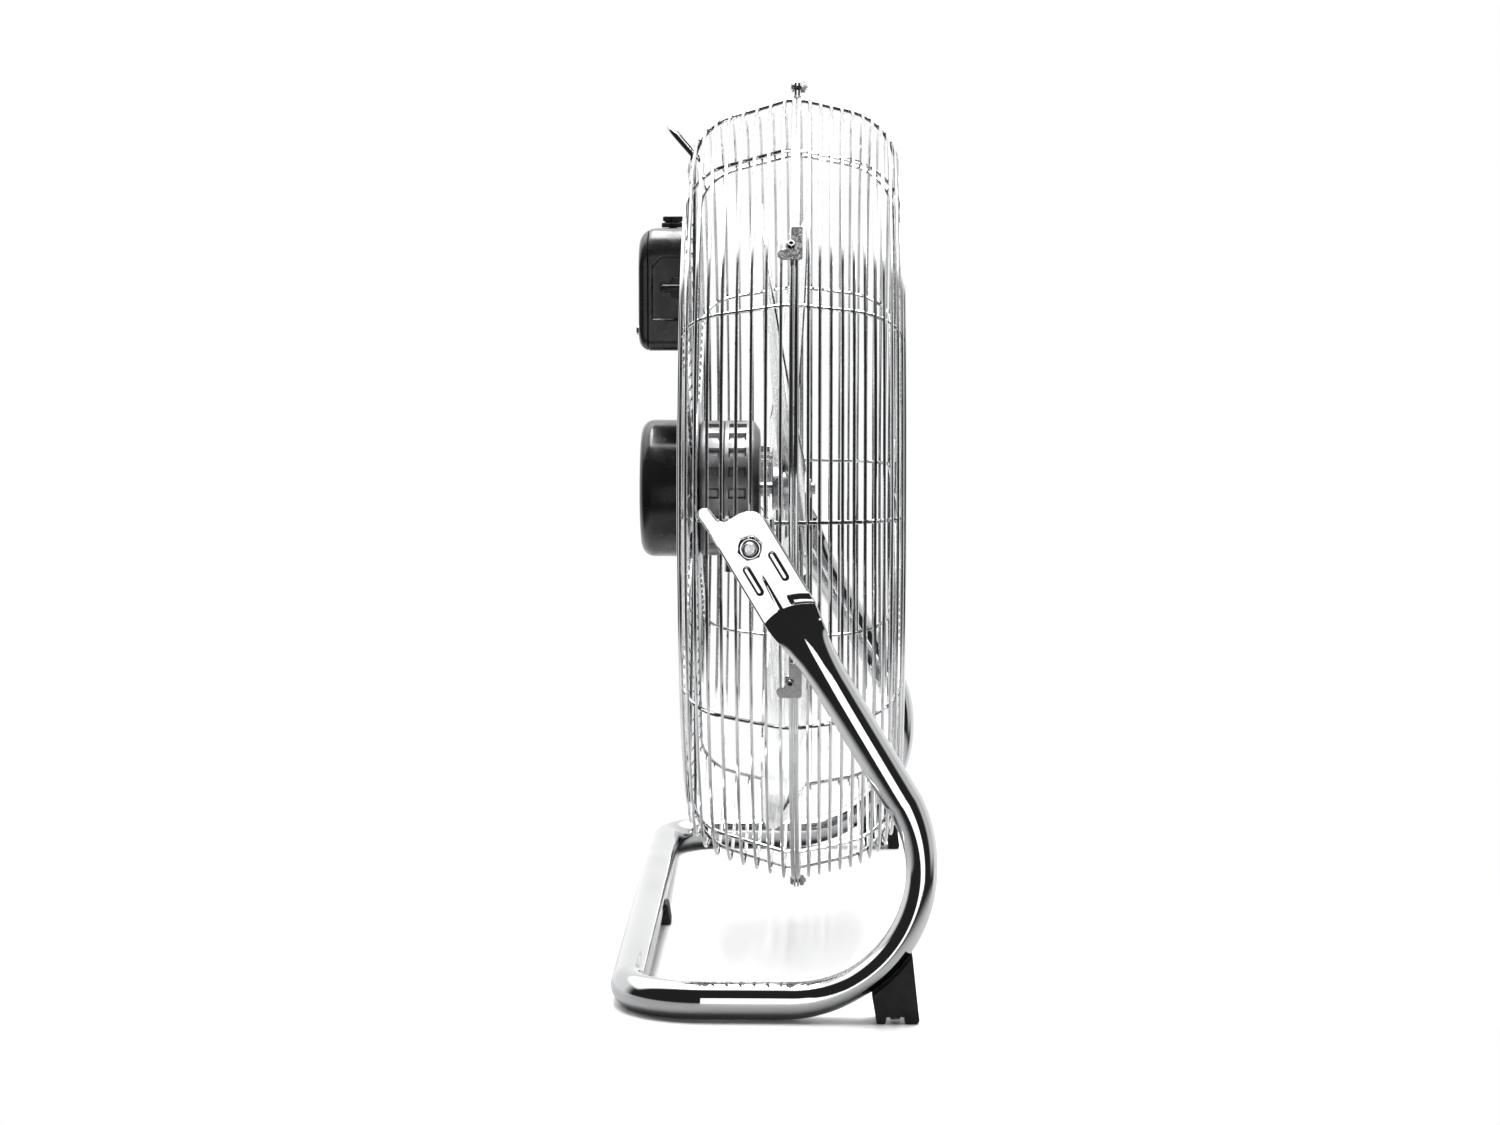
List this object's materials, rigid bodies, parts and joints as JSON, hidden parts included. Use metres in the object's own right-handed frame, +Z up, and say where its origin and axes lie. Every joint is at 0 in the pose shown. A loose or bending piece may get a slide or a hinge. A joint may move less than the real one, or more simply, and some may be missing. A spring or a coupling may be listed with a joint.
{
  "type": "desk fan",
  "caption": "Retro high-velocity fan: drum-shaped chrome wire cage with rear motor and control box, tilting on a bent chrome tube stand.",
  "frame": {"origin": "middle of the footprint on the floor, directly under the middle of the whole object's box", "axes": "+X the way the air blows with the head upright, +Y the fan's left-hand side seen from behind, +Z up"},
  "size_m": [0.193, 0.5752, 0.552],
  "materials": {
    "chrome_steel": "bright mirror chrome plating",
    "chrome_wire": "bright chrome plated steel wire",
    "zinc_steel": "zinc plated, satin",
    "cast_aluminium": "as cast",
    "blade_aluminium": "brushed sheet",
    "lamination_steel": "varnished stack",
    "copper_winding": "enamelled copper wire",
    "gloss_black": "gloss black",
    "black_plastic": "matt black moulding",
    "black_rubber": "matt black"
  },
  "bodies": {
    "stand": {"stand_tube": "chrome_steel", "front_foot_left": "black_plastic", "front_foot_right": "black_plastic", "foot_screw_left": "zinc_steel", "foot_screw_right": "zinc_steel", "rear_foot": "black_rubber"},
    "head": {"rear_guard": "chrome_wire", "front_guard": "chrome_wire", "seam_screw_top": "zinc_steel", "seam_nut_top": "zinc_steel", "seam_screw_bottom": "zinc_steel", "seam_nut_bottom": "zinc_steel", "latch_rivet_left_upper": "zinc_steel", "latch_rivet_left_lower": "zinc_steel", "latch_rivet_right_upper": "zinc_steel", "latch_rivet_right_lower": "zinc_steel", "carry_handle": "chrome_steel", "pivot_bracket_left": "zinc_steel", "pivot_bolt_left": "zinc_steel", "pivot_spacer_left": "black_plastic", "pivot_nut_left": "chrome_steel", "pivot_washer_left": "zinc_steel", "pivot_bracket_right": "zinc_steel", "pivot_bolt_right": "zinc_steel", "pivot_spacer_right": "black_plastic", "pivot_nut_right": "chrome_steel", "pivot_washer_right": "zinc_steel", "motor_mount_plate": "zinc_steel", "motor_rear_bell": "cast_aluminium", "motor_front_bell": "cast_aluminium", "motor_screw_1": "zinc_steel", "motor_screw_2": "zinc_steel", "motor_screw_3": "zinc_steel", "motor_screw_4": "zinc_steel", "stator_core": "lamination_steel", "stator_coil_rear": "copper_winding", "stator_coil_front": "copper_winding", "bearing_rear": "zinc_steel", "bearing_front": "zinc_steel", "motor_rear_cover": "gloss_black", "run_capacitor": "black_plastic", "front_badge": "chrome_steel", "control_box_housing": "gloss_black", "control_box_lid": "gloss_black", "lid_screw_left": "zinc_steel", "lid_screw_right": "zinc_steel", "cable_entry": "black_plastic", "speed_switch": "black_plastic"},
    "rotor": {"motor_shaft": "zinc_steel", "rotor_core": "lamination_steel", "fan_blades": "blade_aluminium", "blade_hub": "zinc_steel", "hub_set_screw": "black_plastic", "shaft_nut": "zinc_steel"},
    "knob": {"switch_shaft": "zinc_steel", "speed_knob": "gloss_black"},
    "latch_left_upper": {"latch_left_upper": "zinc_steel"},
    "latch_left_lower": {"latch_left_lower": "zinc_steel"},
    "latch_right_upper": {"latch_right_upper": "zinc_steel"},
    "latch_right_lower": {"latch_right_lower": "zinc_steel"}
  },
  "joints": [
    {"name": "head_tilt", "type": "hinge", "parent": "stand", "child": "head", "pos_m": [-0.01245, 0, 0.2761], "axis": [0, -1, 0], "range_deg": [-15, 125]},
    {"name": "blade_spin", "type": "hinge", "parent": "head", "child": "rotor", "pos_m": [0.01225, 0, 0.288], "axis": [1, 0, 0], "continuous": true},
    {"name": "speed_knob_turn", "type": "hinge", "parent": "head", "child": "knob", "pos_m": [-0.06825, 0, 0.46], "axis": [0, 0, -1], "range_deg": [0, 270]},
    {"name": "latch_left_upper_swing", "type": "hinge", "parent": "head", "child": "latch_left_upper", "pos_m": [0.01025, 0.19946, 0.44862], "axis": [0, 0.7955, 0.606], "range_deg": [0, 50]},
    {"name": "latch_left_lower_swing", "type": "hinge", "parent": "head", "child": "latch_left_lower", "pos_m": [0.01025, 0.23769, 0.19266], "axis": [0, 0.9178, -0.3971], "range_deg": [0, 50]},
    {"name": "latch_right_upper_swing", "type": "hinge", "parent": "head", "child": "latch_right_upper", "pos_m": [0.01025, -0.19946, 0.44862], "axis": [0, 0.7955, -0.606], "range_deg": [0, 50]},
    {"name": "latch_right_lower_swing", "type": "hinge", "parent": "head", "child": "latch_right_lower", "pos_m": [0.01025, -0.23769, 0.19266], "axis": [0, 0.9178, 0.3971], "range_deg": [0, 50]}
  ]
}
